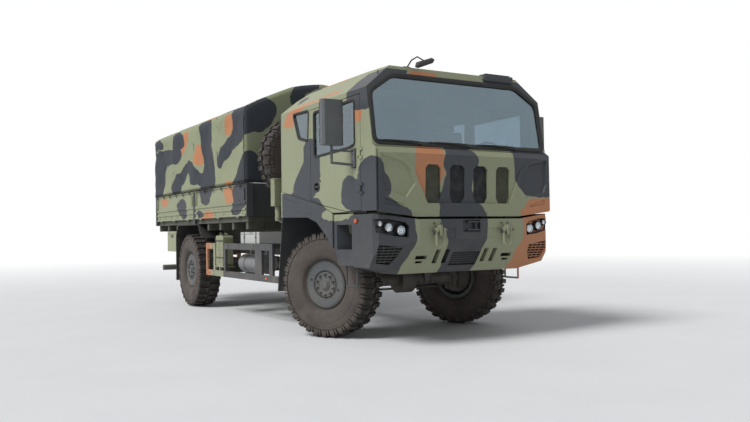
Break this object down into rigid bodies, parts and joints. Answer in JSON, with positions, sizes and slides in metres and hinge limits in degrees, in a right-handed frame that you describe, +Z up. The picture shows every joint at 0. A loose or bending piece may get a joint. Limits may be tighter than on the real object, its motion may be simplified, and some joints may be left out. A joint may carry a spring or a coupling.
{
  "type": "military cargo truck",
  "caption": "Forward-control military cargo truck with a hinged-door cab, steered and rolling wheels, fold-down load-bed boards and a canvas canopy on hoops.",
  "frame": {"origin": "on the ground under the middle of the truck as parked", "axes": "+X to the truck's front, +Y to its left, +Z up"},
  "size_m": [8.505, 3.17, 3.4748],
  "materials": {
    "camouflage_paint": "matt",
    "clear_glass": "clear",
    "dark_paint": "matt",
    "floor_board": "painted",
    "forged_iron": "rough",
    "grey_paint": "satin",
    "lamp_glass": "clear",
    "red_lens": "gloss",
    "seat_cloth": "woven",
    "spring_steel": "scaled",
    "tarpaulin": "woven, matt",
    "trim_plastic": "grained",
    "tyre_rubber": "dusty",
    "wheel_paint": "satin"
  },
  "bodies": {
    "chassis": {"air_tanks": "grey_paint", "cab_fittings": "trim_plastic", "cab_shell": "camouflage_paint", "cab_side_glass": "clear_glass", "cab_steps": "camouflage_paint", "canopy": "tarpaulin", "cargo_floor": "floor_board", "cargo_frame": "camouflage_paint", "chassis_frame": "dark_paint", "dashboard": "trim_plastic", "driveline": "forged_iron", "engine_block": "forged_iron", "front_axle": "dark_paint", "front_bumper": "camouflage_paint", "front_mudguards": "camouflage_paint", "fuel_tank": "grey_paint", "headlamps": "lamp_glass", "intake_stack": "camouflage_paint", "jerrycan": "grey_paint", "leaf_springs": "spring_steel", "radiator": "grey_paint", "rear_axle": "dark_paint", "rear_lamps": "red_lens", "rear_mudguards": "camouflage_paint", "seats": "seat_cloth", "side_guards": "grey_paint", "silencer": "dark_paint", "spare_carrier": "camouflage_paint", "spare_rim": "wheel_paint", "spare_tyre": "tyre_rubber", "steering_wheel": "trim_plastic", "storage_boxes": "camouflage_paint", "tow_hook": "dark_paint", "tow_shackles": "forged_iron", "windscreen": "clear_glass"},
    "door_right": {"door_right": "camouflage_paint", "door_glass_right": "clear_glass", "mirror_right": "trim_plastic"},
    "door_left": {"door_left": "camouflage_paint", "door_glass_left": "clear_glass", "mirror_left": "trim_plastic"},
    "front_flap": {"front_flap": "camouflage_paint"},
    "tailgate": {"tailgate": "camouflage_paint"},
    "dropside_right_front": {"dropside_right_front": "camouflage_paint"},
    "dropside_right_rear": {"dropside_right_rear": "camouflage_paint"},
    "dropside_left_front": {"dropside_left_front": "camouflage_paint"},
    "dropside_left_rear": {"dropside_left_rear": "camouflage_paint"},
    "knuckle_right": {"knuckle_right": "dark_paint"},
    "knuckle_left": {"knuckle_left": "dark_paint"},
    "tie_rod": {"tie_rod": "dark_paint"},
    "wheel_front_right": {"tyre_front_right": "tyre_rubber", "rim_front_right": "wheel_paint"},
    "wheel_front_left": {"tyre_front_left": "tyre_rubber", "rim_front_left": "wheel_paint"},
    "wheel_rear_right": {"tyre_rear_right": "tyre_rubber", "rim_rear_right": "wheel_paint"},
    "wheel_rear_left": {"tyre_rear_left": "tyre_rubber", "rim_rear_left": "wheel_paint"}
  },
  "joints": [
    {"name": "steer_right", "type": "hinge", "parent": "chassis", "child": "knuckle_right", "pos_m": [2.6775, -0.86, 0.625], "axis": [0, 0, 1], "range_deg": [-61, 9]},
    {"name": "wheel_spin_front_right", "type": "hinge", "parent": "knuckle_right", "child": "wheel_front_right", "pos_m": [2.74852, -1.0056, 0.625], "axis": [-0.4384, 0.8988, 0], "continuous": true},
    {"name": "wheel_spin_rear_right", "type": "hinge", "parent": "chassis", "child": "wheel_rear_right", "pos_m": [-2.1525, -1.022, 0.625], "axis": [0, 1, 0], "continuous": true},
    {"name": "steer_left", "type": "hinge", "parent": "chassis", "child": "knuckle_left", "pos_m": [2.6775, 0.86, 0.625], "axis": [0, 0, 1], "range_deg": [-61, 9]},
    {"name": "wheel_spin_front_left", "type": "hinge", "parent": "knuckle_left", "child": "wheel_front_left", "pos_m": [2.60648, 1.0056, 0.625], "axis": [-0.4384, 0.8988, 0], "continuous": true},
    {"name": "wheel_spin_rear_left", "type": "hinge", "parent": "chassis", "child": "wheel_rear_left", "pos_m": [-2.1525, 1.022, 0.625], "axis": [0, 1, 0], "continuous": true},
    {"name": "tie_rod_pivot", "type": "hinge", "parent": "knuckle_right", "child": "tie_rod", "pos_m": [2.50673, -0.94329, 0.5], "axis": [0, 0, 1], "range_deg": [-9, 61]},
    {"name": "door_right_hinge", "type": "hinge", "parent": "chassis", "child": "door_right", "pos_m": [3.831, -1.2195, 2], "axis": [0, 0, 1], "range_deg": [0, 75]},
    {"name": "door_left_hinge", "type": "hinge", "parent": "chassis", "child": "door_left", "pos_m": [3.831, 1.2195, 2], "axis": [0, 0, -1], "range_deg": [0, 75]},
    {"name": "front_flap_hinge", "type": "hinge", "parent": "chassis", "child": "front_flap", "pos_m": [4.0905, 0, 2.118], "axis": [0, -1, 0], "range_deg": [0, 70]},
    {"name": "tailgate_hinge", "type": "hinge", "parent": "chassis", "child": "tailgate", "pos_m": [-4.1005, 0, 1.479], "axis": [0, -1, 0], "range_deg": [0, 170]},
    {"name": "dropside_right_front_hinge", "type": "hinge", "parent": "chassis", "child": "dropside_right_front", "pos_m": [-0.5225, -1.249, 1.479], "axis": [1, 0, 0], "range_deg": [0, 175]},
    {"name": "dropside_left_front_hinge", "type": "hinge", "parent": "chassis", "child": "dropside_left_front", "pos_m": [-0.5225, 1.249, 1.479], "axis": [-1, 0, 0], "range_deg": [0, 175]},
    {"name": "dropside_right_rear_hinge", "type": "hinge", "parent": "chassis", "child": "dropside_right_rear", "pos_m": [-2.8225, -1.249, 1.479], "axis": [1, 0, 0], "range_deg": [0, 175]},
    {"name": "dropside_left_rear_hinge", "type": "hinge", "parent": "chassis", "child": "dropside_left_rear", "pos_m": [-2.8225, 1.249, 1.479], "axis": [-1, 0, 0], "range_deg": [0, 175]}
  ],
  "couplings": [
    {"joint": "steer_left", "follows": "steer_right", "ratio": 1},
    {"joint": "tie_rod_pivot", "follows": "steer_right", "ratio": -1}
  ]
}
